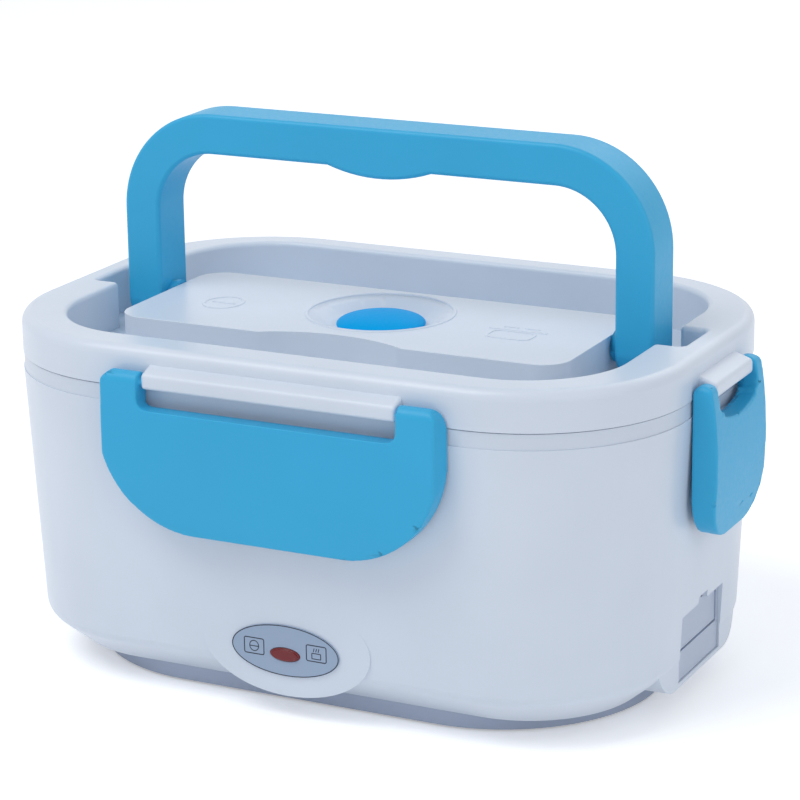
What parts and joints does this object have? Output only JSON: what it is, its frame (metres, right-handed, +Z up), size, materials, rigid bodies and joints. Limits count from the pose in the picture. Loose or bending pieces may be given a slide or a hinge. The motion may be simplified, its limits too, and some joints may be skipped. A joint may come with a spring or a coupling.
{
  "type": "electric lunch box",
  "caption": "Portable heated lunch box: oblong white base with a heater, lift-off lid held by blue snap latches, food containers, vent stopper and fold-down handle.",
  "frame": {"origin": "middle of the box on the table, under the feet", "axes": "+X to the end with the power inlet, +Y to the back, away from the label, +Z up"},
  "size_m": [0.2338, 0.1614, 0.1664],
  "materials": {
    "white_polypropylene": "moulded, satin gloss",
    "liner_polypropylene": "moulded, satin",
    "grey_polypropylene": "moulded, matte",
    "blue_polypropylene": "moulded, satin",
    "blue_silicone": "moulded, soft",
    "clear_silicone": "moulded, soft",
    "foot_rubber": "moulded, matte",
    "zinc_steel": "zinc plated",
    "heater_aluminium": "rolled sheet",
    "heater_case": "extruded case round the ceramic",
    "black_phenolic": "pressed",
    "fuse_ceramic": "glazed",
    "inlet_plastic": "translucent grey, moulded",
    "brass_pins": "turned",
    "red_wire": "extruded",
    "white_wire": "extruded",
    "lamp_glass": "clear tube",
    "lamp_plastic": "moulded",
    "red_lens": "clear red, moulded",
    "label_silver": "printed silver foil",
    "tray_polypropylene": "moulded, satin"
  },
  "bodies": {
    "base": {"outer_shell": "white_polypropylene", "base_plate": "grey_polypropylene", "feet": "foot_rubber", "base_screws": "zinc_steel", "inner_liner": "liner_polypropylene", "plate_seal": "clear_silicone", "heating_plate": "heater_aluminium", "plate_nuts": "zinc_steel", "ptc_heater": "heater_case", "heater_clamp": "zinc_steel", "clamp_screws": "zinc_steel", "thermostat": "black_phenolic", "thermal_fuse": "fuse_ceramic", "inlet_housing": "inlet_plastic", "inlet_pins": "brass_pins", "inlet_door_pin": "zinc_steel", "power_wires": "red_wire", "lamp_wires": "white_wire", "indicator_lamp": "lamp_glass", "lamp_holder": "lamp_plastic", "lamp_lens": "red_lens", "label_plate": "label_silver"},
    "inlet_door": {"inlet_door": "inlet_plastic"},
    "food_tray": {"food_tray": "tray_polypropylene"},
    "side_dish_box": {"side_dish_box": "tray_polypropylene"},
    "side_dish_lid": {"side_dish_lid": "blue_polypropylene"},
    "lid": {"lid_cover": "white_polypropylene", "lid_inner_panel": "liner_polypropylene", "lid_gasket": "clear_silicone", "lid_screws": "zinc_steel"},
    "vent_stopper": {"vent_stopper": "blue_silicone"},
    "handle": {"handle": "blue_polypropylene"},
    "latch_front": {"latch_front": "blue_polypropylene"},
    "latch_back": {"latch_back": "blue_polypropylene"},
    "latch_right": {"latch_right": "blue_polypropylene"},
    "latch_left": {"latch_left": "blue_polypropylene"}
  },
  "joints": [
    {"name": "lid_lift", "type": "slide", "parent": "base", "child": "lid", "axis": [0, 0, 1], "range_m": [0, 0.11]},
    {"name": "tray_lift", "type": "slide", "parent": "base", "child": "food_tray", "axis": [0, 0, 1], "range_m": [0, 0.03]},
    {"name": "side_box_lift", "type": "slide", "parent": "base", "child": "side_dish_box", "axis": [0, 0, 1], "range_m": [0, 0.056]},
    {"name": "side_lid_lift", "type": "slide", "parent": "base", "child": "side_dish_lid", "axis": [0, 0, 1], "range_m": [0, 0.08]},
    {"name": "vent_pull", "type": "slide", "parent": "lid", "child": "vent_stopper", "axis": [0, 0, 1], "range_m": [0, 0.02]},
    {"name": "handle_fold", "type": "hinge", "parent": "lid", "child": "handle", "pos_m": [0, 0.0036, 0.105], "axis": [1, 0, 0], "range_deg": [-70, 90]},
    {"name": "latch_front_swing", "type": "hinge", "parent": "lid", "child": "latch_front", "pos_m": [0, -0.0768, 0.1013], "axis": [-1, 0, 0], "range_deg": [0, 110]},
    {"name": "latch_back_swing", "type": "hinge", "parent": "lid", "child": "latch_back", "pos_m": [0, 0.0768, 0.1013], "axis": [1, 0, 0], "range_deg": [0, 110]},
    {"name": "latch_right_swing", "type": "hinge", "parent": "lid", "child": "latch_right", "pos_m": [0.1118, 0, 0.1013], "axis": [0, -1, 0], "range_deg": [0, 110]},
    {"name": "latch_left_swing", "type": "hinge", "parent": "lid", "child": "latch_left", "pos_m": [-0.1118, 0, 0.1013], "axis": [0, 1, 0], "range_deg": [0, 110]},
    {"name": "inlet_door_swing", "type": "hinge", "parent": "base", "child": "inlet_door", "pos_m": [0.1029, 0, 0.0186], "axis": [0, 1, 0], "range_deg": [0, 95]}
  ],
  "couplings": [
    {"joint": "tray_lift", "follows": "lid_lift", "ratio": 0.27},
    {"joint": "side_box_lift", "follows": "lid_lift", "ratio": 0.5},
    {"joint": "side_lid_lift", "follows": "lid_lift", "ratio": 0.72}
  ]
}
